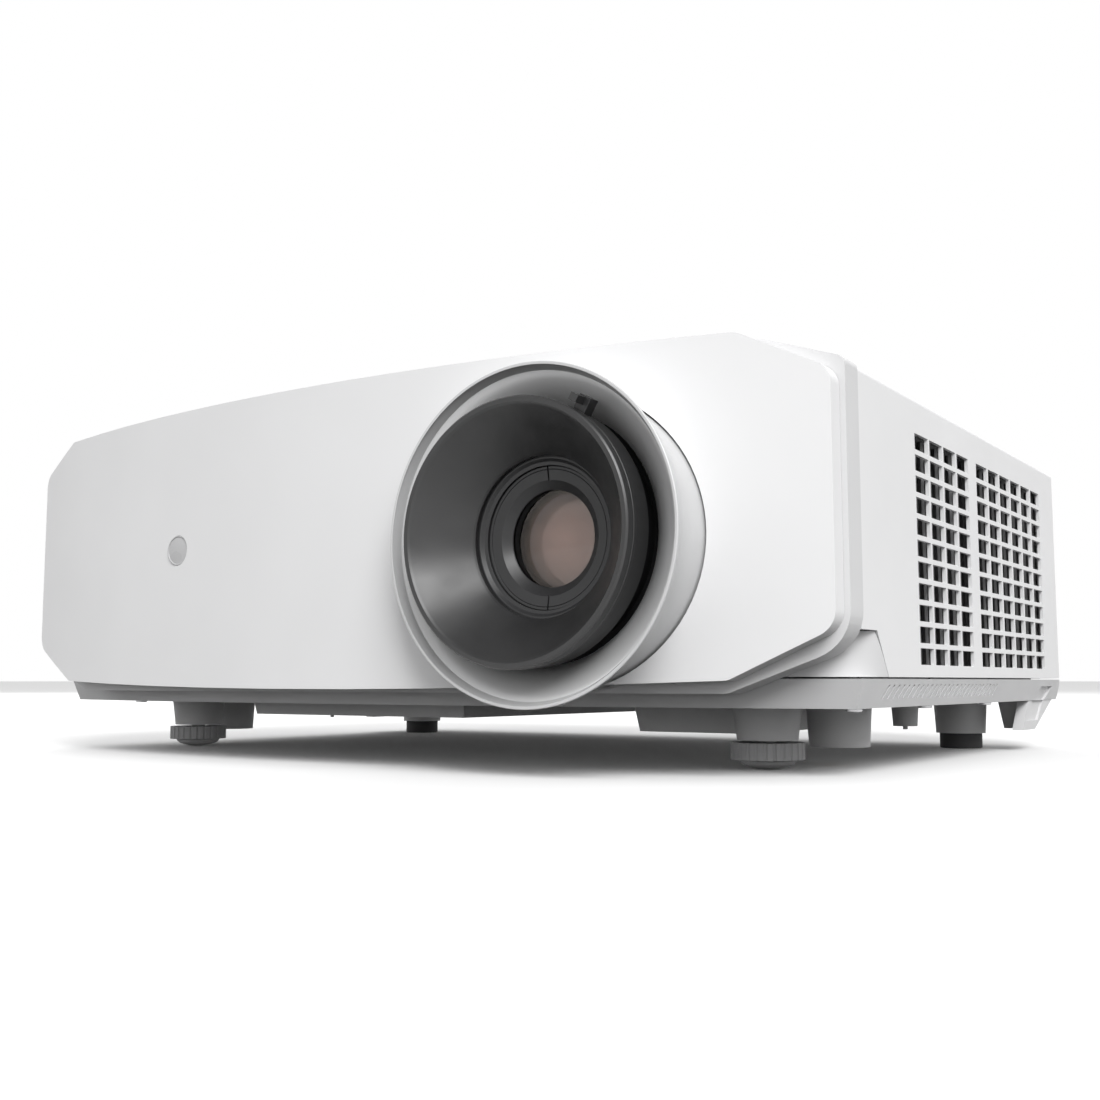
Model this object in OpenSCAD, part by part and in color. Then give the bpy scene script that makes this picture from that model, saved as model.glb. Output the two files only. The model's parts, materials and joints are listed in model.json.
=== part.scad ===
// Home projector: a bowed front panel on a grey frame, a vented cover, a tub with two
// screw feet, and an off-centre lens on a two-way shift mount in front of a laser light engine.
// X runs to the viewer's right, the lens looks along -Y, and Z is up from the table.

/* [Case] */
// Width across the side walls
case_w = 401; // [398:0.5:404]
// Depth from the lens hood's front edge to the rear wall
total_d = 341.2; // [340:0.1:343]
// Height of the cover's crown
crown_z = 142.4; // [142:0.1:143]
// Radius of the cover's crown, seen from the front
crown_r = 9000; // [8000:100:10000]
// Height of the cover's edge between a side wall and the sloping shoulder
side_edge_z = 132.9; // [131:0.1:135]
// Distance of the shoulder's upper end from the centre line
shoulder_x = 176; // [170:1:180]
// Height of the seam between the cover and the tub
seam_z = 32.3; // [32:0.1:33]
// Height of the tub's underside
under_z = 22.4; // [22:0.1:23]
// Wall thickness of the case parts
wall = 2.6; // [2.2:0.1:3]
// Radius of the tub's front corners in plan
corner_r = 25; // [22:0.5:30]
// Inward slope of the tub's walls over their height
tub_taper = 3; // [2:0.1:4]

/* [Front panel] */
// Radius of the panel's bow, seen from above
bow_r = 800; // [780:1:900]
// Front of the panel on the centre line
bow_y = -150; // [-150.5:0.1:-149.5]
// Half width of the panel
panel_hw = 199.4; // [198.5:0.1:199.8]
// Depth of the panel's skirt, along the bow
skirt_d = 7; // [6:0.1:8]
// Depth of the frame behind the panel, along the bow
frame_d = 11.7; // [11:0.1:12.5]

/* [Lens] */
// Distance of the lens axis from the centre line
lens_x = 109.15; // [108:0.05:110]
// Height of the lens axis
lens_z = 78.5; // [78:0.1:79]
// Radius of the focus hood
hood_r = 43.8; // [43.5:0.1:44]
// Radius of the trim ring's rim
rim_r = 56.5; // [56:0.1:57]
// Direction of the zoom lever from the top, clockwise seen from the front
lever_deg = 30.5; // [0:0.5:40]
// Running clearance of turning and sliding fits
fit = 0.05; // [0.02:0.01:0.08]

/* [Side grilles] */
// Rows of openings
grille_rows = 11; // [8:1:12]
// Bar between two rows
grille_bar = 1.85; // [1.5:0.05:2.5]

/* [Feet and mounts] */
// Distance of the screw feet from the centre line
foot_x = 151; // [149:0.5:153]
// Depth position of the screw feet
foot_y = -69.3; // [-71:0.1:-67]
// Distance of the ceiling-mount bosses from the centre line
boss_x = 165; // [164:0.5:166]
// Depth position of the front bosses
boss_front_y = -36; // [-38:0.5:-34]
// Depth position of the rear bosses
boss_rear_y = 118.5; // [117:0.5:120]
// Core radius of the thread in the bosses
insert_r = 2.1; // [2:0.05:2.2]

/* [Hidden] */
$fn = 96;

case_hw = case_w / 2;
rear_y = total_d / 2;
hood_f = total_d / 2;
gap = 0.3;
arc_steps = 8;
far = 300;

fin_top_z = 47.4;
fin_top_y = -91.9;
fin_seam_y = -81.5;
fin_wall = 3;

panel_bottom_z = 28.3;
panel_top_z = 143.4;
panel_wall = 2.8;
frame_bottom_z = 27.2;
frame_wall = 4.4;
collar_in = 3.6;
collar_wall = 2;
frame_bow_y = bow_y + skirt_d + gap;
case_bow_y = bow_y + skirt_d + frame_d;
bulkhead_y = [-110.4, -107.6];
corner_c = [case_hw - corner_r,
    case_bow_y + bow_r - sqrt(pow(bow_r - corner_r, 2) - pow(case_hw - corner_r, 2))];
corner_dir = [corner_c.x, corner_c.y - case_bow_y - bow_r] / (bow_r - corner_r);
tub_h = seam_z - gap - under_z;

grille_z = [37.0, 120.1];
grille_skin = 1.4;
grille_front = [-48, 18.5];
grille_back = [30, 135.5];
louvre_x = [194, 197];

keypad_y = 105;
keypad_size = [139.4, 40];
keypad_z = [139.5, 142.5];
key_flange = 0.8;
key_top_z = 143.1;

tray_x = 109;
tray_y = -63;
tray_size = [29.4, 57.4];
tray_z = [133, 141.9];
dial_y = [-78, -48];
dial_r = 11.5;

foot_ground_z = 0;
boss_z = 7;
insert_z = [7.4, 17.4];

ring_hole_r = 51.2;
bulkhead_hole_r = 39.2;
mask_r = 42.4;
drum_r = 42;
neck_r = 38.3;
tube_r = 35.8;

fan_y = [-7, 89];
fan_x = [168, 193];
fan_z = 79;
wheel_pos = [-45, 15, 78.5];

// ---------- shape helpers ----------
function unit(v) = v / norm(v);

// Arc that rounds corner b of the path a-b-c with radius r
function fillet(a, b, c, r) =
    let (u = unit(a - b), v = unit(c - b), half = acos(u * v) / 2,
        o = b + unit(u + v) * r / sin(half), s = b + u * r / tan(half), e = b + v * r / tan(half),
        a0 = atan2(s.y - o.y, s.x - o.x), a1 = atan2(e.y - o.y, e.x - o.x),
        turn = (a1 - a0 + 540) % 360 - 180)
    [for (i = [0:arc_steps]) o + r * [cos(a0 + turn * i / arc_steps), sin(a0 + turn * i / arc_steps)]];

function flat(p) = [p[0], p[1]];

// Outline from corners [x, y, radius]
function rounded(p) = [for (i = [0:len(p) - 1])
    each p[i][2] <= 0 ? [flat(p[i])] : fillet(flat(p[(i + len(p) - 1) % len(p)]), flat(p[i]),
        flat(p[(i + 1) % len(p)]), p[i][2])];

// Right half of an outline, from the bottom up, joined to its mirror image
function both_sides(p) = concat(p, [for (i = [len(p) - 1:-1:0]) [-p[i][0], p[i][1], p[i][2]]]);

function crown(x, top) = top - x * x / (2 * crown_r);

module along_y(y0, y1) translate([0, y1, 0]) rotate([90, 0, 0]) linear_extrude(y1 - y0) children();

module along_x(x0, x1) translate([x0, 0, 0]) rotate([90, 0, 90]) linear_extrude(x1 - x0) children();

module upward(z0, z1) translate([0, 0, z0]) linear_extrude(z1 - z0) children();

// Local Z points out of the front of the projector along the lens axis
module on_lens() translate([lens_x, 0, lens_z]) rotate([90, 0, 0]) children();

module on_lens_shaft(f0, f1, r) on_lens() translate([0, 0, f0]) cylinder(h = f1 - f0, r = r);

module box(lo, hi) translate(lo) cube(hi - lo);

module both() {
    children();
    mirror([1, 0, 0]) children();
}

module pill(size, r) {
    polygon(rounded([[-size.x / 2, -size.y / 2, r], [size.x / 2, -size.y / 2, r],
        [size.x / 2, size.y / 2, r], [-size.x / 2, size.y / 2, r]]));
}

// ---------- outlines ----------
// Front view of the cover, drawn in by an inset
function cover_outline(i) = rounded(both_sides([[case_hw - i, seam_z + gap, 0],
    [case_hw - i, side_edge_z - 0.75 * i, 2.5], [shoulder_x, crown(shoulder_x, crown_z - i), 12],
    for (x = [136:-34:0]) [x, crown(x, crown_z - i), 0]]));

// Top view of the cover
function cover_plan(i) = rounded([[-case_hw + i, -far, 0], [case_hw - i, -far, 0],
    [case_hw - i, rear_y - i, 8 - i], [-case_hw + i, rear_y - i, 8 - i]]);

// Side view of the cover
function cover_side(i) = rounded([[-far, 0, 0], [rear_y - i, 0, 0],
    [rear_y - i, crown_z + 1.2 - i, 8 - i], [-far, crown_z + 1.2 - i, 0]]);

// How far the tub's walls stand in at height z
function tub_in(z) = tub_taper * (under_z + tub_h - z) / tub_h;

// Top view of the area around a front corner that its rounding shapes
corner_area = [corner_c, corner_c + 70 * corner_dir, corner_c + [70, -70], corner_c + [70, 0]];

// Front view of the bowed panel: an eight-cornered plate with arched long edges
function panel_outline(i) = rounded(both_sides([
    for (x = [20:36:128]) [x, panel_bottom_z + i + 1.125e-4 * x * x, 0],
    [166.4, panel_bottom_z + 3.1 + i, 6], [panel_hw - i, 47.6 + i / 2, 9],
    [panel_hw - i, 128.5 - i / 2, 7], [170.4, panel_top_z - 0.8 - i, 6],
    for (x = [128:-36:20]) [x, panel_top_z - i - 2.4e-5 * x * x, 0]]));

// Front view of the frame behind the panel
function frame_outline(i) = rounded(both_sides([[163, frame_bottom_z + i, 8],
    [case_hw + 0.7 - i, 42.5 + i / 2, 16 - i],
    [case_hw + 0.7 - i, side_edge_z + 0.5 - 0.75 * i, 3], [shoulder_x, crown(shoulder_x, crown_z + 0.7 - i), 12],
    for (x = [136:-34:0]) [x, crown(x, crown_z + 0.7 - i), 0]]));

// ---------- case ----------
// Everything behind a bowed surface whose middle is at y
module behind_bow(y) translate([0, y + bow_r, 0]) cylinder(h = 200, r = bow_r);

module front_fascia() color("white") difference() {
    intersection() {
        along_y(-200, -50) polygon(panel_outline(0));
        behind_bow(bow_y);
    }
    intersection() {
        along_y(-200, 0) polygon(panel_outline(panel_wall));
        behind_bow(bow_y + panel_wall);
    }
    behind_bow(bow_y + skirt_d);
    on_lens_shaft(129.7, 160, ring_hole_r);
    translate([-77.3, -160, 85.1]) rotate([-90, 0, 0]) cylinder(h = 30, r = 6.3);
}

// Corner of the tub carried up past the seam, behind the frame
module corner_fin() both() intersection() {
    upward(seam_z + gap, fin_top_z) {
        difference() {
            intersection() {
                translate(corner_c) circle(r = corner_r);
                polygon(corner_area);
            }
            translate(corner_c) circle(r = corner_r - fin_wall);
        }
        translate(corner_c + [corner_r - fin_wall, -0.1]) square([fin_wall, 10]);
        difference() {
            intersection() {
                translate([0, case_bow_y + bow_r]) circle(r = bow_r);
                translate([164, -140]) square([corner_c.x + corner_r * corner_dir.x - 163.9, 40]);
            }
            translate([0, case_bow_y + bow_r]) circle(r = bow_r - fin_wall);
        }
    }
    along_x(-far, far) polygon([[-140, seam_z], [fin_seam_y - gap, seam_z],
        [fin_top_y - gap, fin_top_z], [-140, fin_top_z]]);
}

module fascia_frame() color([0.78, 0.79, 0.8]) difference() {
    union() {
        difference() {
            intersection() {
                along_y(-200, -50) polygon(frame_outline(0));
                behind_bow(frame_bow_y);
            }
            along_y(-200, 0) polygon(frame_outline(frame_wall));
            behind_bow(case_bow_y - gap);
        }
        intersection() {
            along_y(-200, bulkhead_y[1]) difference() {
                polygon(frame_outline(collar_in));
                polygon(frame_outline(collar_in + collar_wall));
            }
            behind_bow(frame_bow_y);
        }
        along_y(bulkhead_y[0], bulkhead_y[1]) polygon(frame_outline(collar_in + 1));
        corner_fin();
    }
    on_lens_shaft(100, 120, bulkhead_hole_r);
    on_lens_shaft(129.7, 160, ring_hole_r + 0.8);
}

function spread(span, n, bar, i) = span[0] + i * (span[1] - span[0] + bar) / n;

module grille_cells(span, n, bar) {
    cell_y = (span[1] - span[0] + bar) / n - bar;
    cell_z = (grille_z[1] - grille_z[0] + grille_bar) / grille_rows - grille_bar;
    for (i = [0:n - 1], j = [0:grille_rows - 1])
        translate([spread(span, n, bar, i), spread(grille_z, grille_rows, grille_bar, j)])
            square([cell_y, cell_z]);
}

module upper_case() color("white") difference() {
    intersection() {
        along_y(-200, rear_y) polygon(cover_outline(0));
        behind_bow(case_bow_y);
        upward(0, far) polygon(cover_plan(0));
        along_x(-far, far) polygon(cover_side(0));
    }
    intersection() {
        along_y(-200, rear_y) union() {
            polygon(cover_outline(wall));
            translate([-case_hw + wall, 0]) square([case_w - 2 * wall, seam_z + 20]);
        }
        upward(0, far) polygon(cover_plan(wall));
        along_x(-far, far) polygon(cover_side(wall));
    }
    along_x(-far, far) {
        grille_cells(grille_front, 4, 1.7);
        grille_cells(grille_back, 6, 1.9);
    }
    both() box([case_hw - wall - 0.5, grille_front[0] - 3, grille_z[0] - 3],
        [case_hw - grille_skin, grille_back[1] + 3, grille_z[1] + 3]);
    along_x(-far, far) polygon([[-140, seam_z - 1], [fin_seam_y + 0.7, seam_z - 1],
        [fin_top_y, fin_top_z + gap], [-140, fin_top_z + gap]]);
    along_y(160, far) translate([0, 83]) pill([344, 86], 5);
    upward(130, 150) translate([0, keypad_y]) pill(keypad_size + [0.6, 0.6], 6.3);
    upward(130, 150) translate([tray_x, tray_y]) pill(tray_size + [0.6, 0.6], 4.3);
}

module collar(x, y, z0, r0, r1) translate([x, y, z0]) cylinder(h = under_z + 1 - z0, r1 = r0, r2 = r1);

// Leg under the rear corner: a raked side plate and a tapered block inside it
module rear_leg() {
    along_x(192.6, 197.2) polygon([[116.5, 24], [103, 9.2], [125.5, 9.2], [160, 22.3], [160, 24]]);
    along_x(183, 193) polygon([[115.5, 24], [126.5, 9.2], [134, 9.2], [160, 22.3], [160, 24]]);
}

// Slanted slots through one side wall of the tub
module side_slots() along_x(case_hw - 7, far) for (i = [0:26]) let (y = -84 + 5.1 * i)
    polygon([[y, 25.4], [y + 1.5, 25.4], [y + 5.6, 30], [y + 4.1, 30]]);

// Solid tub drawn in by an inset, with sloping walls, a bowed front and round front corners
module tub_body(inset, z0, z1) {
    low = inset + tub_in(z0);
    high = inset + tub_in(z1);
    difference() {
        intersection() {
            along_y(-far, far) polygon([[-case_hw + low, z0], [case_hw - low, z0],
                [case_hw - high, z1], [-case_hw + high, z1]]);
            along_x(-far, far) polygon([[-far, z0], [rear_y - low, z0], [rear_y - high, z1], [-far, z1]]);
            upward(z0, z1) polygon(cover_plan(inset));
            translate([0, case_bow_y + bow_r, z0]) cylinder(h = z1 - z0, r1 = bow_r - low, r2 = bow_r - high);
        }
        both() difference() {
            upward(z0 - 1, z1 + 1) polygon(corner_area);
            translate([corner_c.x, corner_c.y, z0]) cylinder(h = z1 - z0, r1 = corner_r - low,
                r2 = corner_r - high);
        }
    }
}

// Raised duct cover under the tub, with one sloping end
module duct(x0, x1, y0, y1, z, slope) along_y(y0, y1)
    polygon([[x0 - slope, under_z + 1], [x0, z], [x1, z], [x1, under_z + 1]]);

module lower_case() color([0.88, 0.88, 0.89]) difference() {
    union() {
        difference() {
            tub_body(0, under_z, under_z + tub_h);
            tub_body(panel_wall, under_z + wall, seam_z + 1);
        }
        both() {
            collar(foot_x, foot_y, 10.3, 10.9, 12.6);
            collar(boss_x, boss_front_y, boss_z, 11.2, 12.2);
            collar(boss_x, boss_rear_y, boss_z, 11.2, 12.2);
            collar(boss_x, 39, 12.4, 5, 5.8);
            translate([boss_x, 39, 11]) cylinder(h = 2, r = 1);
            translate([foot_x, foot_y, under_z]) cylinder(h = 8, r = 6);
            rear_leg();
        }
        duct(93, 140, -60, 20, 11.8, 3);
        duct(-77.5, 37, -100, 60, 17, 2.5);
    }
    along_y(-150, bulkhead_y[1] + gap) polygon(frame_outline(collar_in - gap));
    both() {
        side_slots();
        translate([foot_x, foot_y, 0]) cylinder(h = 40, r = 3 + fit);
        translate([boss_x, boss_front_y, 0]) cylinder(h = insert_z[1] + 0.2, r = 4.05);
        translate([boss_x, boss_rear_y, 0]) cylinder(h = insert_z[1] + 0.2, r = 4.05);
    }
    for (i = [0:11], j = [0:2]) box([-72 + 12.4 * i, 72 + 22 * j, 20], [-66 + 12.4 * i, 90 + 22 * j, 30]);
    for (p = screw_places) translate([p.x, p.y, 20]) cylinder(h = 10, r = 1.6);
}

screw_places = [for (p = [[186, -76], [186, 0], [186, 84], [120, 152]], side = [-1, 1]) [side * p.x, p.y]];

module rear_panel() color([0.2, 0.2, 0.21]) difference() {
    along_y(165.6, 167.8) translate([0, 83]) pill([352, 94], 4);
    for (p = port_places) along_y(160, 170) translate([p[0], p[1]]) square([p[2] + 0.4, p[3] + 0.4], center = true);
    for (p = jack_places) translate([p.x, 160, p.y]) rotate([-90, 0, 0]) cylinder(h = 20, r = 4.2);
    along_y(160, 170) translate([inlet_x, inlet_z]) square([28.4, 20.4], center = true);
    for (x = panel_screw_x) translate([x, 160, 46]) rotate([-90, 0, 0]) cylinder(h = 20, r = 1.6);
    for (i = [0:8]) along_y(160, 170) translate([60 + 12 * i, 104]) pill([5, 28], 2.2);
}

// Connector bodies: middle x, middle z, width, height, opening width, opening height
port_places = [[-30, 62, 16, 7, 13.9, 4.7], [-58, 62, 16, 7, 13.9, 4.7],
    [8, 62, 14.5, 7.6, 12.4, 5.2], [40, 64, 16.4, 14, 12.2, 8.6]];
jack_places = [[66, 60], [84, 60]];
inlet_x = -140;
inlet_z = 62;
panel_screw_x = [-166, -112, 108, 166];

module signal_ports() color("silver") {
    for (p = port_places) difference() {
        along_y(153, 168.6) translate([p[0], p[1]]) square([p[2], p[3]], center = true);
        along_y(156, 170) translate([p[0], p[1]]) square([p[4], p[5]], center = true);
    }
    for (p = jack_places) translate([p.x, 153, p.y]) rotate([-90, 0, 0]) difference() {
        cylinder(h = 15.6, r = 4);
        translate([0, 0, 3]) cylinder(h = 20, r = 1.8);
    }
}

module power_inlet() color([0.08, 0.08, 0.08]) {
    difference() {
        along_y(146, 168.4) translate([inlet_x, inlet_z]) square([28, 20], center = true);
        along_y(151, 170) translate([inlet_x, inlet_z]) square([24.2, 16.2], center = true);
    }
    for (x = [-7, 0, 7]) box([inlet_x + x - 1, 140, inlet_z + (x == 0 ? 2 : -3)],
        [inlet_x + x + 1, 165, inlet_z + (x == 0 ? 6 : 1)]);
}

module ir_window() color([0.8, 0.8, 0.82]) translate([-77.3, 0, 85.1]) rotate([90, 0, 0]) {
    translate([0, 0, 142]) cylinder(h = 4.6, r = 6.2);
    translate([0, 0, 140.4]) cylinder(h = 2, r = 8);
}

module louvre() color([0.35, 0.35, 0.36]) {
    difference() {
        along_x(louvre_x[0], louvre_x[1]) translate([43.5, 78.5]) square([192, 92], center = true);
        along_x(louvre_x[0] - 1, louvre_x[1] + 1) translate([43.5, 78.5]) square([184, 84], center = true);
    }
    for (i = [0:20]) translate([(louvre_x[0] + louvre_x[1]) / 2, -44 + 8.75 * i, 78.5])
        rotate([0, 0, 38]) cube([1.2, 3.4, 86], center = true);
}

module louvre_left() mirror([1, 0, 0]) louvre();

module louvre_right() louvre();

// ---------- controls on the top ----------
// Quarter-ring key around the centre key; grow opens it up for its hole
module arrow_key(turn, grow) rotate(turn) difference() {
    intersection() {
        circle(r = 14.5 + grow);
        polygon([[3 - grow, 0], [18, 15], [18, -15]]);
        translate([0, -20]) square([40, 40]);
    }
    circle(r = 7.2 - grow);
}

module key_cap() translate([0, keypad_y, 0]) {
    upward(139.2, key_top_z) children(0);
    upward(138.6, 139.2) children(1);
}

module round_key(x, r) key_cap() {
    translate([x, 0]) circle(r = r);
    translate([x, 0]) circle(r = r + key_flange);
}

module arrow_button(turn) key_cap() {
    arrow_key(turn, 0);
    arrow_key(turn, 0.15);
}

module keypad_plate() color([0.9, 0.9, 0.91]) difference() {
    translate([0, keypad_y, 0]) upward(keypad_z[0], keypad_z[1]) pill(keypad_size, 6);
    translate([0, keypad_y, 0]) upward(130, 150) {
        translate([-50, 0]) circle(r = 6.5 + gap);
        circle(r = 5.8 + gap);
        for (x = [36, 53]) translate([x, 0]) circle(r = 5 + gap);
        for (a = [0:90:270]) arrow_key(a, gap);
        for (y = [-8, 0, 8]) translate([-32, y]) circle(r = 1.4);
    }
}

module status_lights() color([0.6, 0.8, 0.7]) for (y = [-8, 0, 8])
    translate([-32, keypad_y + y, 138]) cylinder(h = 4.7, r = 1.3);

module button_power() color([0.75, 0.76, 0.78]) round_key(-50, 6.5);
module button_ok() color([0.75, 0.76, 0.78]) round_key(0, 5.8);
module button_menu() color([0.75, 0.76, 0.78]) round_key(36, 5);
module button_back() color([0.75, 0.76, 0.78]) round_key(53, 5);
module button_right() color([0.75, 0.76, 0.78]) arrow_button(0);
module button_up() color([0.75, 0.76, 0.78]) arrow_button(90);
module button_left() color([0.75, 0.76, 0.78]) arrow_button(180);
module button_down() color([0.75, 0.76, 0.78]) arrow_button(270);

module dial_tray() color([0.3, 0.3, 0.31]) difference() {
    translate([tray_x, tray_y, 0]) upward(tray_z[0], tray_z[1]) pill(tray_size, 4);
    translate([tray_x, tray_y, 0]) upward(tray_z[0] + 1.5, 150) pill(tray_size - [3, 3], 3);
    for (y = dial_y) translate([tray_x, y, 120]) cylinder(h = 30, r = 3 + fit);
}

module fluted(r, n, groove) difference() {
    circle(r = r);
    for (i = [0:n - 1]) rotate(360 * i / n) translate([r + groove * 0.3, 0]) circle(r = groove);
}

module shift_dial(y) color([0.16, 0.16, 0.17]) translate([tray_x, y, 0]) {
    upward(135.2, 141.4) fluted(dial_r, 24, 0.8);
    upward(124, 135.3) circle(r = 3);
}

module v_dial() shift_dial(dial_y[0]);

module h_dial() shift_dial(dial_y[1]);

// ---------- feet and mounts ----------
module foot_pad(side) color([0.45, 0.45, 0.46]) translate([side * foot_x, foot_y, foot_ground_z]) {
    rotate_extrude() polygon([[0, 0], [6, 0], [7.6, 0.45], [8.9, 1.3], [9.8, 2.4], [10.1, 3.2], [0, 3.2]]);
    translate([0, 0, 3.1]) cylinder(h = 3.2, r = 3);
}

module foot_knob(side) color([0.62, 0.63, 0.64]) translate([side * foot_x, foot_y, 0]) difference() {
    union() {
        upward(3.5, 9.5) fluted(13.2, 26, 0.75);
        translate([0, 0, 9.4]) cylinder(h = 18, r = 3);
    }
    translate([0, 0, 3]) cylinder(h = 3.6, r = 3 + fit);
}

module foot_pad_left() foot_pad(-1);

module foot_knob_left() foot_knob(-1);

module foot_pad_right() foot_pad(1);

module foot_knob_right() foot_knob(1);

module mount_inserts() color("goldenrod") for (x = [-boss_x, boss_x], y = [boss_front_y, boss_rear_y])
    translate([x, y, insert_z[0]]) difference() {
        cylinder(h = insert_z[1] - insert_z[0], r = 4);
        translate([0, 0, -1]) cylinder(h = 20, r = insert_r);
    }

module rear_feet() color([0.12, 0.12, 0.12]) both() translate([boss_x, boss_rear_y, 0]) difference() {
    cylinder(h = boss_z, r = 9.6);
    translate([0, 0, -1]) cylinder(h = 20, r = 4.4);
}

// Pan-head screw whose head rests on z = 0 and whose shank points up
module screw(length) {
    translate([0, 0, -1.6]) cylinder(h = 1.6, r = 2.8);
    cylinder(h = length, r = 1.5);
}

module case_screws() color("silver") {
    for (p = screw_places) translate([p.x, p.y, under_z]) screw(7);
    for (x = panel_screw_x) translate([x, 167.8, 46]) rotate([90, 0, 0]) screw(8);
}

// ---------- lens ----------
// Flared ring around the lens: a rim, a short inner wall and a dish that falls to the opening
module lens_ring() color("silver") on_lens() rotate_extrude() polygon(concat(
    [[48.8, 130], [50.5, 130], [50.5, 143.5]],
    [for (i = [1:6]) [50.5 + 5.7 * pow(i / 6, 1.7), 143.5 + 17.6 * i / 6]],
    [[rim_r, 161.8], [56.3, 162.3], [55.7, 162.5], [55, 162.3], [53.9, 159.2]],
    [for (i = [1:8]) [53.9 - 11.8 * i / 8, 159.2 - 10.6 * pow(i / 8, 1.6)]],
    [[42.1, 147.3], [44.6, 149.9], [46.8, 151.9], [48.8, 153.3]]));

module lens_barrel() color([0.13, 0.13, 0.14]) on_lens() rotate_extrude() polygon([
    [neck_r - 1.5, 162.5], [neck_r - 1.5, 125], [31, 125], [31, 66], [12, 66], [12, 60], [tube_r, 60],
    [tube_r, 122], [drum_r, 122], [drum_r, 144], [neck_r, 144], [neck_r, 162.5]]);

module shift_mask() color([0.08, 0.08, 0.08]) on_lens() translate([0, 0, 111]) difference() {
    cylinder(h = 1.2, r = mask_r);
    translate([0, 0, -1]) cylinder(h = 4, r = tube_r + 0.02);
}

module zoom_ring() color([0.11, 0.11, 0.12]) on_lens() {
    difference() {
        translate([0, 0, 156.6]) cylinder(h = 7.8, r = 43.2);
        translate([0, 0, 150]) cylinder(h = 20, r = neck_r + fit);
    }
    rotate(-lever_deg) {
        translate([-2.3, 42, 159]) cube([4.6, 6.6, 4.5]);
        translate([-2.5, 45.7, 162.8]) cube([3, 2.5, 5.2]);
    }
}

module focus_ring() color([0.1, 0.1, 0.11]) on_lens() rotate_extrude() polygon([[30, 140], [31.5, 140],
    [31.5, 151], [36, 161.9], [38, 164.7], [38, 165], [hood_r, 165], [hood_r, 170], [43.2, hood_f], [41.8, hood_f], [41.2, 170],
    [27, 152.2], [27, 151], [30, 151]]);

module front_cell() color([0.14, 0.14, 0.15]) on_lens() rotate_extrude() polygon([[26, 105], [31 - fit, 105],
    [31 - fit, 136], [30 - fit, 138], [30 - fit, 150.6], [26.2, 150.6], [25.2, 149.3], [24.1, 149.1],
    [24.1, 144.8], [18.2, 144.8], [18.2, 139], [26, 137]]);

module retaining_ring() color([0.2, 0.2, 0.21]) on_lens() difference() {
    rotate_extrude() polygon([[16.3, 144.9], [24, 144.9], [24, 148.3], [19.4, 147.5], [16.5, 145.2]]);
    for (a = [90, 270]) rotate(a) translate([18.9, -0.35, 147.1]) cube([5.3, 0.7, 3]);
}

// Domed front lens: a slice of a sphere, its apex 0.7 mm below the retaining ring's face
module front_element() color([0.5, 0.42, 0.4, 0.6]) on_lens() intersection() {
    translate([0, 0, 139.2]) cylinder(h = 10, r = 18.1);
    translate([0, 0, 147.6 - 46]) sphere(r = 46);
}

module zoom_cell() color([0.15, 0.15, 0.16]) on_lens() difference() {
    translate([0, 0, 78]) cylinder(h = 18, r = 31 - fit);
    translate([0, 0, 77]) cylinder(h = 20, r = 15);
}

module zoom_element() color([0.6, 0.7, 0.75, 0.5]) on_lens() intersection() {
    translate([0, 0, 82]) cylinder(h = 10, r = 14.97);
    translate([0, 0, 92 - 40]) sphere(r = 40);
}

module rear_element() color([0.6, 0.7, 0.75, 0.5]) on_lens() intersection() {
    translate([0, 0, 60.5]) cylinder(h = 5, r = 11.97);
    translate([0, 0, 60.5 + 36]) sphere(r = 36);
}

// ---------- lens shift ----------
rod_r = 2;
v_rod_x = 54;
h_rod_z = 42;

module shift_base() color([0.55, 0.56, 0.58]) {
    difference() {
        box([lens_x - 62, -101, 28.6], [lens_x + 62, -97, 131]);
        on_lens_shaft(90, 110, 41);
    }
    for (s = [-1, 1]) {
        for (z = [30, 124]) box([lens_x + s * v_rod_x - 5, -97.2, z], [lens_x + s * v_rod_x + 5, -88, z + 5]);
        translate([lens_x + s * v_rod_x, -92.5, 34.8]) cylinder(h = 89.4, r = rod_r);
    }
}

module shift_v_carriage() color([0.66, 0.67, 0.69]) difference() {
    union() {
        box([lens_x - 48, -94.5, 38], [lens_x + 48, -91, 119]);
        for (s = [-1, 1], z = [48, 102]) box([lens_x + s * v_rod_x - (s > 0 ? 7 : 4), -95.5, z],
            [lens_x + s * v_rod_x + (s > 0 ? 4 : 7), -89.5, z + 8]);
        for (s = [-1, 1]) {
            for (x = [-46, 43]) box([lens_x + x, -91.2, lens_z + s * h_rod_z - 3.5],
                [lens_x + x + 3, -82, lens_z + s * h_rod_z + 3.5]);
            translate([lens_x - 43.2, -86.5, lens_z + s * h_rod_z]) rotate([0, 90, 0]) cylinder(h = 86.4, r = rod_r);
        }
    }
    on_lens_shaft(80, 100, 38.6);
    for (s = [-1, 1]) translate([lens_x + s * v_rod_x, -92.5, 30]) cylinder(h = 100, r = rod_r + fit);
}

module shift_h_carriage() color([0.72, 0.73, 0.75]) difference() {
    union() {
        box([lens_x - 40, -88, 40.4], [lens_x + 40, -85, 116.6]);
        for (s = [-1, 1], x = [-30, 22]) box([lens_x + x, -89.4, lens_z + s * h_rod_z - 4],
            [lens_x + x + 8, -83.4, lens_z + s * h_rod_z + 4]);
    }
    on_lens_shaft(80, 100, tube_r + 0.02);
    for (s = [-1, 1]) translate([lens_x - 50, -86.5, lens_z + s * h_rod_z]) rotate([0, 90, 0])
        cylinder(h = 100, r = rod_r + fit);
}

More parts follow.
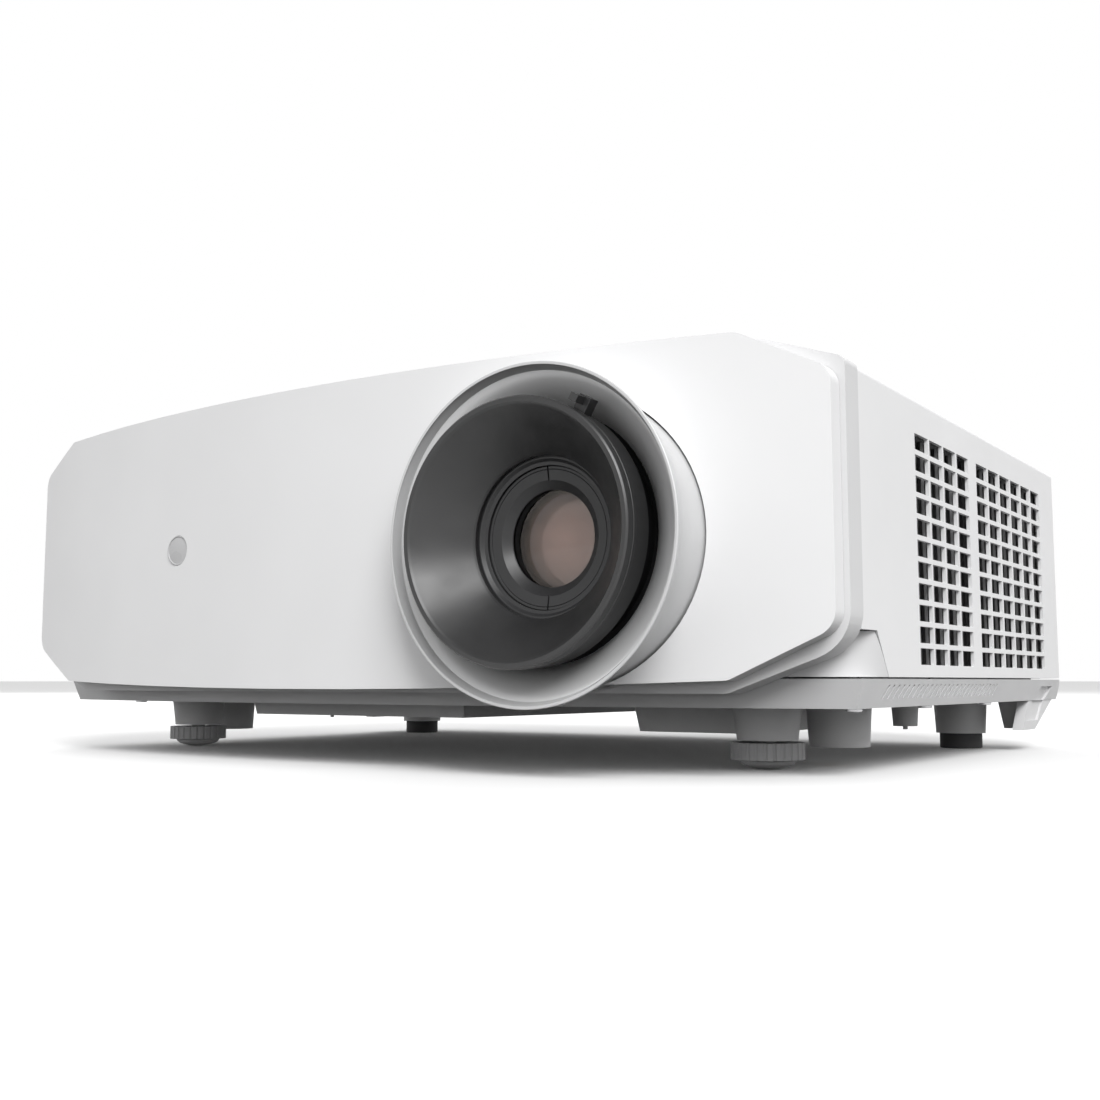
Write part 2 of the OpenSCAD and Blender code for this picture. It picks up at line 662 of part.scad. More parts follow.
// ---------- light engine ----------
module chassis_tray() color([0.7, 0.71, 0.72]) difference() {
    union() {
        box([-188, -84, 26.2], [188, 160, 27.4]);
        for (x = [-188, 186.8]) box([x, -84, 26.2], [x + 1.2, 160, 36]);
        box([-188, 158.8, 26.2], [188, 160, 36]);
    }
    both() translate([foot_x, foot_y, 20]) cylinder(h = 20, r = 9);
    for (p = screw_places) translate([p.x, p.y, 20]) cylinder(h = 20, r = 2.4);
}

module engine_housing() color([0.5, 0.51, 0.53]) difference() {
    box([-30, -55, 48], [150, 20, 109]);
    box([-26, -51, 52], [146, 16, 105]);
    on_lens_shaft(40, 60, 20);
    translate([-40, -10, lens_z]) rotate([0, 90, 0]) cylinder(h = 20, r = 9);
}

module laser_bank() color([0.72, 0.6, 0.42]) {
    box([-150, -46, 52], [-100, 24, 119.8]);
    for (y = [-34, -12, 10], z = [62, 80, 98]) translate([-100.2, y, z]) rotate([0, 90, 0]) cylinder(h = 6, r = 4.5);
}

module heat_sink() color([0.75, 0.76, 0.78]) {
    box([-150, 28, 114], [-84, 92, 119.8]);
    for (i = [0:14]) box([-150 + 4.6 * i, 28, 38], [-148.4 + 4.6 * i, 92, 114.2]);
}

module heat_pipes() color([0.72, 0.42, 0.26]) for (i = [0:3])
    translate([-141 + 12 * i, -42, 123]) rotate([-90, 0, 0]) cylinder(h = 130, r = 3.1);

module wheel_motor() color([0.3, 0.3, 0.32]) translate(wheel_pos) rotate([0, 90, 0]) {
    translate([0, 0, -16]) cylinder(h = 14, r = 12);
    translate([0, 0, -2.1]) cylinder(h = 6, r = 2);
    translate([-2, -10, -18.5]) cube([52.3 - 2, 20, 2.6]);
}

module phosphor_wheel() color([0.85, 0.85, 0.5]) translate(wheel_pos) rotate([0, 90, 0]) difference() {
    union() {
        translate([0, 0, 0.4]) cylinder(h = 1.2, r = 30);
        translate([0, 0, -1]) cylinder(h = 4.4, r = 6);
    }
    translate([0, 0, -5]) cylinder(h = 20, r = 2 + fit);
}

module light_tunnel() color([0.6, 0.62, 0.66]) difference() {
    box([-24, -16, lens_z - 6], [18, -4, lens_z + 6]);
    box([-25, -13.5, lens_z - 3.5], [19, -6.5, lens_z + 3.5]);
}

// Half section of a lens with two domed faces, for rotate_extrude
function lens_section(r, edge, dome) = concat(
    [for (i = [0:6]) [r * i / 6, -edge / 2 - dome * (1 - pow(i / 6, 2))]],
    [for (i = [6:-1:0]) [r * i / 6, edge / 2 + dome * (1 - pow(i / 6, 2))]]);

module relay_lenses() color([0.6, 0.7, 0.75, 0.5]) for (x = [30, 48, 66])
    translate([x, -10, lens_z]) rotate([0, 90, 0]) rotate_extrude() polygon(lens_section(15, 2.5, 2.4));

module prism_block() color([0.65, 0.75, 0.8, 0.5]) {
    box([lens_x - 18, -46, lens_z - 18], [lens_x + 18, -28, lens_z + 18]);
    along_x(lens_x - 18, lens_x + 18) polygon([[-27.7, lens_z - 18], [-12, lens_z - 18], [-27.7, lens_z + 18]]);
}

module dmd_board() color([0.1, 0.35, 0.2]) {
    box([lens_x - 30, -3, lens_z - 24], [lens_x + 30, -1.4, lens_z + 24]);
    box([lens_x - 14, -6.4, lens_z - 9], [lens_x + 14, -2.9, lens_z + 9]);
    for (i = [0:6]) box([lens_x - 14 + 4.4 * i, -1.5, lens_z - 12], [lens_x - 12.4 + 4.4 * i, 12, lens_z + 12]);
}

module fan_frames() color([0.14, 0.14, 0.15]) for (y = fan_y) difference() {
    union() {
        difference() {
            along_x(fan_x[0], fan_x[1]) translate([y, fan_z]) pill([80, 80], 4);
            translate([fan_x[0] - 1, y, fan_z]) rotate([0, 90, 0]) cylinder(h = 40, r = 37.6);
        }
        translate([fan_x[0], y, fan_z]) rotate([0, 90, 0]) cylinder(h = 4, r = 15);
        for (a = [0:90:270]) translate([fan_x[0], y, fan_z]) rotate([a + 45, 0, 0]) box([0, -2, 12], [3, 2, 39]);
        translate([fan_x[0] + 2, y, fan_z]) rotate([0, 90, 0]) cylinder(h = 14, r = 1.5);
    }
}

module fan_rotor(y) color([0.2, 0.2, 0.21]) translate([fan_x[0] + 5, y, fan_z]) rotate([0, 90, 0]) difference() {
    union() {
        cylinder(h = 16, r = 16);
        for (i = [0:6]) rotate(360 * i / 7) translate([15, 0, 8]) rotate([38, 0, 0])
            translate([0, -1, -9]) cube([20, 2, 18]);
    }
    translate([0, 0, -1]) cylinder(h = 14, r = 1.5 + fit);
}

module fan_rotor_front() fan_rotor(fan_y[0]);

module fan_rotor_rear() fan_rotor(fan_y[1]);

// ---------- boards ----------
module chips(list, z) for (c = list) box([c[0], c[1], z - 0.1], [c[0] + c[2], c[1] + c[3], z + c[4]]);

module main_board() color([0.1, 0.3, 0.18]) {
    box([-90, 150.4, 40], [150, 152, 122]);
    for (c = [[-70, 92, 24], [-20, 88, 32], [40, 92, 20], [100, 60, 26], [100, 94, 14]])
        box([c[0], 147.4, c[1]], [c[0] + c[2], 150.5, c[1] + c[2]]);
}

module power_board() color([0.45, 0.35, 0.15]) {
    box([-60, 42, 34], [70, 142, 35.6]);
    chips([[-50, 52, 36, 30, 32], [-4, 50, 24, 24, 26], [32, 60, 30, 26, 22], [-50, 96, 16, 34, 30]], 35.6);
    for (x = [-16, 8, 32]) translate([x, 112, 35.5]) cylinder(h = 34, r = 9);
    for (x = [-56, 66], y = [46, 138]) translate([x, y, 27.6]) cylinder(h = 6.5, r = 3);
}

front_fascia();
fascia_frame();
upper_case();
lower_case();
rear_panel();
lens_ring();
ir_window();
louvre_left();
louvre_right();
keypad_plate();
status_lights();
dial_tray();
mount_inserts();
rear_feet();
case_screws();
signal_ports();
power_inlet();
main_board();
power_board();
chassis_tray();
engine_housing();
laser_bank();
heat_sink();
heat_pipes();
wheel_motor();
light_tunnel();
relay_lenses();
prism_block();
dmd_board();
fan_frames();
shift_base();
fan_rotor_front();
fan_rotor_rear();
phosphor_wheel();
shift_v_carriage();
shift_h_carriage();
lens_barrel();
shift_mask();
focus_ring();
front_cell();
retaining_ring();
front_element();
zoom_ring();
zoom_cell();
zoom_element();
rear_element();
v_dial();
h_dial();
foot_pad_left();
foot_knob_left();
foot_pad_right();
foot_knob_right();
button_power();
button_up();
button_down();
button_left();
button_right();
button_ok();
button_menu();
button_back();
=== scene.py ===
"""Home projector: materials, detailed pieces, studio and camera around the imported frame."""

import json
import math

import bpy
from mathutils import Euler, Matrix, Vector


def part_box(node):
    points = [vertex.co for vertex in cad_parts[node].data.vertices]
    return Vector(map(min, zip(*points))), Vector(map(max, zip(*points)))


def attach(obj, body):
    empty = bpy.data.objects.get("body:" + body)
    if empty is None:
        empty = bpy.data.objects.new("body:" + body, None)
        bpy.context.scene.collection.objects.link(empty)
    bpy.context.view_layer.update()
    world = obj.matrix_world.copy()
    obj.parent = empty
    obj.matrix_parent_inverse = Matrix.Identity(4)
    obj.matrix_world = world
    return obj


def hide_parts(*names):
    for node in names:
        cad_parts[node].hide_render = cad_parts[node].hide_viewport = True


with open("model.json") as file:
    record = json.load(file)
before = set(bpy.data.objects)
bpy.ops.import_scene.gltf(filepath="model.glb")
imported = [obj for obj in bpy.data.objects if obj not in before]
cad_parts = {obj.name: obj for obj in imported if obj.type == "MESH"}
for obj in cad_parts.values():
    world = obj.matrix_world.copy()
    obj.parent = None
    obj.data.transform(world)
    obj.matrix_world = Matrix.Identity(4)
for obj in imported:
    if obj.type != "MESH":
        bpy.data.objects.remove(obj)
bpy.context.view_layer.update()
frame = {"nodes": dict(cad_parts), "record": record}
nodes = frame["nodes"]
body_of_node = {n: body for body, members in frame["record"]["behaviour"]["bodies"].items() for n in members}
slot_of_node = {s["node"]: s["material_slot"] for s in frame["record"]["subparts"]}
MM = 0.001


# ---------- modelling helpers ----------
def deselect_all():
    bpy.ops.object.select_all(action="DESELECT")


def activate(piece):
    deselect_all()
    piece.select_set(True)
    bpy.context.view_layer.objects.active = piece


def edit(piece):
    activate(piece)
    bpy.ops.object.mode_set(mode="EDIT")


def leave_edit():
    bpy.ops.object.mode_set(mode="OBJECT")


def apply_modifier(piece, kind, **settings):
    activate(piece)
    modifier = piece.modifiers.new(kind.title(), kind)
    for key, value in settings.items():
        setattr(modifier, key, value)
    bpy.ops.object.modifier_apply(modifier=modifier.name)


def round_edges(piece, width, segments=2, angle=32):
    apply_modifier(piece, "BEVEL", width=width, segments=segments, limit_method="ANGLE",
                   angle_limit=math.radians(angle), miter_outer="MITER_SHARP", use_clamp_overlap=True)


def smooth(piece, angle=30):
    """Smooth shading that keeps the corners crisp and the large faces even."""
    activate(piece)
    bpy.ops.object.shade_smooth_by_angle(angle=math.radians(angle))
    apply_modifier(piece, "WEIGHTED_NORMAL", weight=50, keep_sharp=True)


def add_detail(piece, node, material):
    """Paints a piece that the CAD leaves out and lets it move with the body of a node beside it."""
    piece.data.materials.clear()
    piece.data.materials.append(material)
    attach(piece, body_of_node[node])
    return piece


def finish_piece(piece, node, material):
    """Paints a finished piece, which takes a CAD node's place and moves with its body."""
    add_detail(piece, node, material)
    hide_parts(node)
    return piece


def copy_of(node, name):
    """A clean copy of a CAD node's mesh, with its doubles merged and its flat faces joined."""
    piece = bpy.data.objects.new(name, nodes[node].data.copy())
    bpy.context.scene.collection.objects.link(piece)
    edit(piece)
    bpy.ops.mesh.select_all(action="SELECT")
    bpy.ops.mesh.remove_doubles(threshold=2e-6)
    bpy.ops.mesh.dissolve_limited(angle_limit=math.radians(0.02))
    leave_edit()
    return piece


def softened(node, material, width=0.3 * MM, segments=2):
    """A CAD shape as it leaves the mould: the same faces with rounded edges."""
    piece = copy_of(node, node + "_moulded")
    round_edges(piece, width, segments)
    smooth(piece)
    return finish_piece(piece, node, material)


def corner_arc(before, corner, after, radius, steps):
    """Points of the arc that rounds one corner of a path."""
    middle = Vector(corner)
    to_before = (Vector(before) - middle).normalized()
    to_after = (Vector(after) - middle).normalized()
    half = math.acos(max(-1, min(1, to_before.dot(to_after)))) / 2
    shorter_side = min((Vector(before) - middle).length, (Vector(after) - middle).length)
    reach = min(radius / math.tan(half), 0.49 * shorter_side)
    start = middle + to_before * reach
    end = middle + to_after * reach
    points = []
    for i in range(steps + 1):
        t = i / steps
        points.append(tuple(start * (1 - t) ** 2 + middle * 2 * t * (1 - t) + end * t ** 2))
    return points


def eased(corners, steps=4):
    """A closed path from (x, y) corners; a third number rounds that corner."""
    path = []
    for i, corner in enumerate(corners):
        if len(corner) == 2:
            path.append(corner)
            continue
        before = corners[i - 1][:2]
        after = corners[(i + 1) % len(corners)][:2]
        path += corner_arc(before, corner[:2], after, corner[2], steps)
    return path


def turned(name, profile, middle, along, steps=160):
    """Lathe work: a closed profile of (radius, distance) points in millimetres, spun about an axis."""
    along = Vector(along)
    across = Vector((1, 0, 0))
    points = [middle + (across * r + along * d) * MM for r, d in profile]
    deselect_all()
    bpy.ops.mesh.primitive_plane_add(size=1 * MM, location=points[0])
    piece = bpy.context.object
    piece.name = name
    bpy.ops.object.mode_set(mode="EDIT")
    bpy.ops.mesh.select_all(action="SELECT")
    bpy.ops.mesh.merge(type="CENTER")
    for here, there in zip(points, points[1:] + points[:1]):
        bpy.ops.mesh.extrude_region_move(TRANSFORM_OT_translate={"value": there - here})
    bpy.ops.mesh.select_all(action="SELECT")
    bpy.ops.mesh.spin(steps=steps, angle=2 * math.pi, center=middle, axis=along)
    bpy.ops.mesh.select_all(action="SELECT")
    bpy.ops.mesh.remove_doubles(threshold=0.002 * MM)
    bpy.ops.mesh.normals_make_consistent(inside=False)
    leave_edit()
    settle(piece)
    return piece


def settle(piece):
    """Moves a piece's place and turn into its mesh."""
    activate(piece)
    bpy.ops.object.transform_apply(location=True, rotation=True, scale=True)


def block(name, low, high, edge=0.0, segments=2):
    """A box between two corners in metres, with rounded edges."""
    low = Vector(low)
    high = Vector(high)
    deselect_all()
    bpy.ops.mesh.primitive_cube_add(size=1, location=(low + high) / 2)
    piece = bpy.context.object
    piece.name = name
    piece.scale = high - low
    settle(piece)
    if edge:
        edit(piece)
        bpy.ops.mesh.select_all(action="SELECT")
        bpy.ops.mesh.bevel(offset=edge, segments=segments, affect="EDGES")
        leave_edit()
    return piece


def joined(name, pieces):
    """Several solids made one piece."""
    deselect_all()
    for piece in pieces:
        piece.select_set(True)
    bpy.context.view_layer.objects.active = pieces[0]
    bpy.ops.object.join()
    pieces[0].name = name
    settle(pieces[0])
    return pieces[0]


def cut(piece, tool):
    """Takes a tool's shape out of a piece."""
    apply_modifier(piece, "BOOLEAN", object=tool, operation="DIFFERENCE", solver="EXACT")
    bpy.data.objects.remove(tool, do_unlink=True)


def twin(piece, name, move):
    """A copy with its own mesh, placed with a matrix."""
    other = bpy.data.objects.new(name, piece.data.copy())
    bpy.context.scene.collection.objects.link(other)
    other.data.transform(move)
    return other


# ---------- materials ----------
def new_material(name):
    material = bpy.data.materials.new(name)
    material.use_nodes = True
    tree = material.node_tree
    return material, tree, tree.nodes["Principled BSDF"]


def noise(tree, scale, detail=2.0, roughness=0.5, stretch=None):
    """Noise on the piece's own Object coordinates, stretched along the way the surface was worked."""
    place = tree.nodes.new("ShaderNodeTexCoord")
    texture = tree.nodes.new("ShaderNodeTexNoise")
    texture.inputs["Scale"].default_value = scale
    texture.inputs["Detail"].default_value = detail
    texture.inputs["Roughness"].default_value = roughness
    coordinate = place.outputs["Object"]
    if stretch:
        mapping = tree.nodes.new("ShaderNodeMapping")
        mapping.inputs["Scale"].default_value = stretch
        tree.links.new(coordinate, mapping.inputs["Vector"])
        coordinate = mapping.outputs["Vector"]
    tree.links.new(coordinate, texture.inputs["Vector"])
    return texture.outputs["Fac"]


def spread_to(tree, value, low, high):
    """Maps a noise value onto a range."""
    mapper = tree.nodes.new("ShaderNodeMapRange")
    mapper.inputs["From Min"].default_value = 0.3
    mapper.inputs["From Max"].default_value = 0.7
    mapper.inputs["To Min"].default_value = low
    mapper.inputs["To Max"].default_value = high
    tree.links.new(value, mapper.inputs["Value"])
    return mapper.outputs["Result"]


def tinted(tree, value, colour, change):
    """A colour that drifts by a small share up and down with a value."""
    ramp = tree.nodes.new("ShaderNodeValToRGB")
    ramp.color_ramp.elements[0].position = 0.3
    ramp.color_ramp.elements[1].position = 0.7
    ramp.color_ramp.elements[0].color = [c * (1 - change) for c in colour] + [1]
    ramp.color_ramp.elements[1].color = [min(1, c * (1 + change)) for c in colour] + [1]
    tree.links.new(value, ramp.inputs["Fac"])
    return ramp.outputs["Color"]


def bump(tree, shader, height, depth, strength=1.0):
    node = tree.nodes.new("ShaderNodeBump")
    node.inputs["Distance"].default_value = depth
    node.inputs["Strength"].default_value = strength
    tree.links.new(height, node.inputs["Height"])
    tree.links.new(node.outputs["Normal"], shader.inputs["Normal"])


def moulded(name, colour, rough, grain=0.03 * MM, grain_scale=2600, drift=0.02, specular=0.4):
    """Injection-moulded plastic with a spark-eroded grain."""
    material, tree, shader = new_material(name)
    tree.links.new(tinted(tree, noise(tree, 14), colour, drift), shader.inputs["Base Color"])
    roughness = spread_to(tree, noise(tree, 90, 3), rough - 0.05, rough + 0.05)
    tree.links.new(roughness, shader.inputs["Roughness"])
    bump(tree, shader, noise(tree, grain_scale, 3, 0.6), grain, 0.35)
    shader.inputs["Specular IOR Level"].default_value = specular
    return material


def metal(name, colour, rough, stretch=None, scale=1500, depth=0.01 * MM, drift=0.05, metallic=1.0):
    """Metal whose fine marks are stretched along the way it was worked."""
    material, tree, shader = new_material(name)
    grain = noise(tree, scale, 4, 0.5, stretch)
    tree.links.new(tinted(tree, noise(tree, 40), colour, drift), shader.inputs["Base Color"])
    tree.links.new(spread_to(tree, grain, rough - 0.06, rough + 0.08), shader.inputs["Roughness"])
    bump(tree, shader, grain, depth, 0.3)
    shader.inputs["Metallic"].default_value = metallic
    return material


def glass(name, colour, rough=0.0, transmission=1.0):
    """Polished optical glass with faint polishing marks."""
    material, tree, shader = new_material(name)
    tree.links.new(tinted(tree, noise(tree, 60), colour, 0.02), shader.inputs["Base Color"])
    tree.links.new(spread_to(tree, noise(tree, 300, 3), rough, rough + 0.015), shader.inputs["Roughness"])
    shader.inputs["Transmission Weight"].default_value = transmission
    shader.inputs["IOR"].default_value = 1.46
    return material


def coating_with_painted_shade(name, stops, middle, radius):
    """Lens coating with painted shade: its tint runs from the middle of the element to near black at its
    rim, standing in for the shade of the ring around it.
    """
    material, tree, shader = new_material(name)
    place = tree.nodes.new("ShaderNodeTexCoord")
    mapping = tree.nodes.new("ShaderNodeMapping")
    mapping.vector_type = "TEXTURE"
    mapping.inputs["Location"].default_value = middle
    mapping.inputs["Scale"].default_value = (radius, radius, radius)
    # Painted shade: a spherical gradient from the middle of the element, dark at its rim.
    gradient = tree.nodes.new("ShaderNodeTexGradient")
    gradient.gradient_type = "SPHERICAL"
    ramp = tree.nodes.new("ShaderNodeValToRGB")
    while len(ramp.color_ramp.elements) < len(stops):
        ramp.color_ramp.elements.new(0.5)
    for element, (position, colour) in zip(ramp.color_ramp.elements, stops):
        element.position = position
        element.color = list(colour) + [1]
    tree.links.new(place.outputs["Object"], mapping.inputs["Vector"])
    tree.links.new(mapping.outputs["Vector"], gradient.inputs["Vector"])
    tree.links.new(gradient.outputs["Fac"], ramp.inputs["Fac"])
    tree.links.new(ramp.outputs["Color"], shader.inputs["Base Color"])
    tree.links.new(spread_to(tree, noise(tree, 200, 3), 0.12, 0.2), shader.inputs["Roughness"])
    shader.inputs["Coat Weight"].default_value = 0.6
    return material


ring_low, ring_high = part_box("lens_ring")
lens_axis = Vector(((ring_low.x + ring_high.x) / 2, 0, (ring_low.z + ring_high.z) / 2))
OUT = Vector((0, -1, 0))

white_plastic = moulded("white_plastic", (0.8, 0.8, 0.805), 0.5)
frame_plastic = moulded("frame_plastic", (0.66, 0.66, 0.665), 0.48)
# Painted shade: the tub is the same white plastic as the cover, but its colour is set darker, 0.66 against
# 0.8, for the shade on its lower faces.
tub_plastic_painted_shade = moulded("tub_plastic_painted_shade", (0.66, 0.66, 0.665), 0.52)
keypad_plastic = moulded("keypad_plastic", (0.72, 0.72, 0.725), 0.45)
key_plastic = moulded("key_plastic", (0.4, 0.405, 0.415), 0.42)
louvre_plastic = moulded("louvre_plastic", (0.2, 0.2, 0.203), 0.6)
back_plastic = moulded("back_plastic", (0.045, 0.045, 0.048), 0.5)
tray_plastic = moulded("tray_plastic", (0.2, 0.2, 0.205), 0.5)
dial_plastic = moulded("dial_plastic", (0.03, 0.03, 0.032), 0.45)
knob_plastic = moulded("knob_plastic", (0.42, 0.42, 0.425), 0.5)
pad_plastic = moulded("pad_plastic", (0.55, 0.55, 0.555), 0.5)
fan_plastic = moulded("fan_plastic", (0.02, 0.02, 0.022), 0.45)
hood_plastic = moulded("hood_plastic", (0.014, 0.014, 0.0145), 0.38, grain=0.012 * MM, specular=0.7)
barrel_plastic = moulded("barrel_plastic", (0.01, 0.01, 0.0105), 0.5, specular=0.25)
cell_enamel = moulded("cell_enamel", (0.024, 0.024, 0.025), 0.38, grain=0.008 * MM, specular=0.45)
socket_plastic = moulded("socket_plastic", (0.015, 0.015, 0.015), 0.35)
pad_rubber = moulded("pad_rubber", (0.06, 0.06, 0.062), 0.75, grain=0.05 * MM, grain_scale=1400)
window_plastic = moulded("window_plastic", (0.5, 0.5, 0.505), 0.3, grain=0.004 * MM)
light_plastic = moulded("light_plastic", (0.62, 0.7, 0.66), 0.2, grain=0.004 * MM)
ring_paint = metal("ring_paint", (0.62, 0.622, 0.625), 0.4, scale=2600, depth=0.005 * MM, drift=0.015,
                   metallic=0.25)
zinc_steel = metal("zinc_steel", (0.55, 0.55, 0.56), 0.34)
nickel_steel = metal("nickel_steel", (0.62, 0.62, 0.63), 0.28, (1, 12, 1))
tray_steel = metal("tray_steel", (0.55, 0.56, 0.57), 0.42, (1, 8, 1))
cast_metal = metal("cast_metal", (0.42, 0.43, 0.45), 0.55, scale=700, depth=0.05 * MM)
fin_metal = metal("fin_metal", (0.66, 0.67, 0.69), 0.36, (1, 1, 12))
laser_metal = metal("laser_metal", (0.55, 0.46, 0.33), 0.36)
copper = metal("copper", (0.62, 0.3, 0.18), 0.3, (1, 10, 1))
brass = metal("brass", (0.66, 0.5, 0.22), 0.3)
phosphor = moulded("phosphor", (0.75, 0.72, 0.2), 0.35)
board_lacquer = moulded("board_lacquer", (0.02, 0.14, 0.06), 0.3, grain=0.01 * MM)
clear_glass = glass("clear_glass", (0.86, 0.93, 0.95))
front_glass = glass("front_glass", (0.93, 0.84, 0.8))
# Painted shade: the coating's brown-pink tint darkens to near black towards the element's rim, as if the
# ring around it shaded it.
inner_coating_painted_shade = coating_with_painted_shade("inner_coating_painted_shade", [
    (0.0, (0.01, 0.012, 0.01)), (0.14, (0.05, 0.05, 0.04)), (0.32, (0.14, 0.11, 0.092)),
    (0.6, (0.2, 0.145, 0.125)), (1.0, (0.26, 0.19, 0.168))], lens_axis + OUT * 136 * MM, 18.5 * MM)

MATERIAL_OF_SLOT = {
    "white_shell": white_plastic, "grey_frame": frame_plastic, "tub_shell": tub_plastic_painted_shade,
    "rear_black": back_plastic, "silver_trim": ring_paint, "window_grey": window_plastic,
    "louvre_grey": louvre_plastic, "keypad_white": keypad_plastic, "light_guide": light_plastic,
    "tray_grey": tray_plastic, "insert_brass": brass, "dark_rubber": pad_rubber,
    "screw_steel": zinc_steel, "port_steel": nickel_steel, "inlet_black": socket_plastic,
    "board_green": board_lacquer, "tray_steel": tray_steel, "cast_alloy": cast_metal,
    "laser_plate": laser_metal, "fin_alloy": fin_metal, "pipe_copper": copper,
    "motor_grey": cell_enamel, "clear_glass": clear_glass, "coated_glass": front_glass,
    "fan_black": fan_plastic, "phosphor_coat": phosphor, "carriage_alloy": cast_metal,
    "lens_black": hood_plastic, "ring_black": cell_enamel, "dial_black": dial_plastic,
    "knob_grey": knob_plastic, "key_grey": key_plastic,
}

for node, obj in nodes.items():
    obj.data.materials.clear()
    obj.data.materials.append(MATERIAL_OF_SLOT[slot_of_node[node]])


# ---------- case ----------
def make_case():
    softened("front_fascia", white_plastic, 1.4 * MM, 4)
    softened("fascia_frame", frame_plastic, 0.9 * MM, 3)
    softened("upper_case", white_plastic, 0.3 * MM, 2)
    make_tub()
    softened("rear_panel", back_plastic, 0.25 * MM, 2)
    for side in ("left", "right"):
        softened("louvre_" + side, louvre_plastic, 0.15 * MM, 1)


def raked_bit(name, low, high, rake, lean):
    """A cutter whose top stands back by the rake and out by the lean."""
    piece = block(name, low, high)
    edit(piece)
    bpy.ops.mesh.select_all(action="DESELECT")
    leave_edit()
    top = high[2]
    for vertex in piece.data.vertices:
        vertex.select = abs(vertex.co.z - top) < 0.01 * MM
    edit(piece)
    bpy.ops.transform.translate(value=(lean, rake, 0))
    leave_edit()
    return piece


LEG_RAKE = 1.36
RECESS_OUTER_X = 206
RECESS_STAGES = (
    {"x": 196.1, "y": (110, 131), "z": (13.2, 22.3), "lean": 0.0},
    {"x": 196.2, "y": (122.4, 143.4), "z": (22.3, 28.8), "lean": 2.1},
)


def make_tub():
    """The tub, with a shallow raked recess in the outer face of each rear leg."""
    piece = copy_of("lower_case", "lower_case_moulded")
    for side in (1, -1):
        for stage in RECESS_STAGES:
            y = stage["y"]
            z = stage["z"]
            rake = (z[1] - z[0]) * LEG_RAKE
            near = (stage["x"] * MM, y[0] * MM, z[0] * MM)
            far = (RECESS_OUTER_X * MM, y[1] * MM, z[1] * MM)
            bit = raked_bit("recess_bit", near, far, rake * MM, stage["lean"] * MM)
            if side < 0:
                bit.data.transform(Matrix.Diagonal((-1, 1, 1, 1)))
                bit.data.flip_normals()
            cut(piece, bit)
    round_edges(piece, 0.4 * MM, 2)
    smooth(piece)
    finish_piece(piece, "lower_case", tub_plastic_painted_shade)


def make_window():
    """The remote's window: a shallow dome in the panel with a thin rim."""
    low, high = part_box("ir_window")
    middle = Vector(((low.x + high.x) / 2, 0, (low.z + high.z) / 2))
    front = -low.y / MM
    profile = eased([
        (0, front - 6), (8, front - 6), (8, front - 4.6), (6.2, front - 4.6), (6.2, front - 0.2, 0.25),
        (5.7, front - 0.15, 0.2), (5.6, front - 0.45, 0.1), (5.3, front - 0.4)])
    dome = [(5.3 * (1 - i / 12), front - 0.4 + 0.35 * math.sin(math.pi / 2 * i / 12)) for i in range(1, 13)]
    piece = turned("window_dome", profile + dome, middle, OUT, 96)
    smooth(piece, 35)
    finish_piece(piece, "ir_window", window_plastic)


# ---------- lens ----------
def make_trim_ring():
    """Flared ring: a curved flare, a thin rolled rim, a short inner wall and a dish."""
    flare = [(50.5 + 5.7 * (i / 28) ** 1.7, 143.5 + 17.6 * i / 28) for i in range(29)]
    rim = eased([(56.5, 161.8, 0.4), (56.3, 162.45, 0.35), (55, 162.45, 0.3)])
    dish = [(53.9 - 11.8 * i / 28, 159.2 - 10.6 * (i / 28) ** 1.6) for i in range(29)]
    lip = [(42.1, 147.3), (44.6, 149.9), (46.8, 151.9), (48.8, 153.3), (48.8, 130), (50.5, 130)]
    piece = turned("flared_ring", flare + rim[1:] + dish + lip, lens_axis, OUT, 220)
    smooth(piece, 32)
    finish_piece(piece, "lens_ring", ring_paint)


def make_hood():
    """Focus hood: a plain horn inside, a rounded rim, and a fine groove around the outside."""
    profile = eased([
        (30, 140), (31.5, 140), (31.5, 151), (36, 161.9), (38, 164.7), (38, 165), (43.8, 165, 0.4),
        (43.8, 166.6, 0.1), (43.55, 166.75), (43.8, 166.9, 0.1), (43.8, 170, 0.35), (43.2, 170.6, 0.35),
        (41.8, 170.6, 0.35), (41.1, 169.9, 0.4), (27.5, 152.9, 0.4), (27, 152.2, 0.2), (27, 151), (30, 151)])
    piece = turned("focus_horn", profile, lens_axis, OUT, 220)
    smooth(piece, 32)
    finish_piece(piece, "focus_ring", hood_plastic)


def make_barrel():
    profile = eased([
        (36.8, 162.5, 0.2), (36.8, 125), (31, 125), (31, 66), (12, 66), (12, 60), (35.8, 60, 0.5),
        (35.8, 122), (42, 122, 0.4), (42, 144, 0.4), (38.3, 144), (38.3, 162.5, 0.3)])
    piece = turned("lens_drum", profile, lens_axis, OUT, 180)
    smooth(piece, 32)
    finish_piece(piece, "lens_barrel", barrel_plastic)


def make_zoom_collar():
    """Zoom collar with its lever."""
    softened("zoom_ring", hood_plastic, 0.55 * MM, 4)


def make_front_cell():
    profile = eased([
        (26, 105), (30.95, 105), (30.95, 136), (29.95, 138), (29.95, 150.6, 0.3), (26.3, 150.6, 0.5),
        (25.3, 149.4, 0.5), (24.15, 149.1, 0.15), (24.1, 144.8), (18.2, 144.8), (18.2, 139), (26, 137)])
    piece = turned("front_cell_turned", profile, lens_axis, OUT, 180)
    smooth(piece, 32)
    finish_piece(piece, "front_cell", cell_enamel)


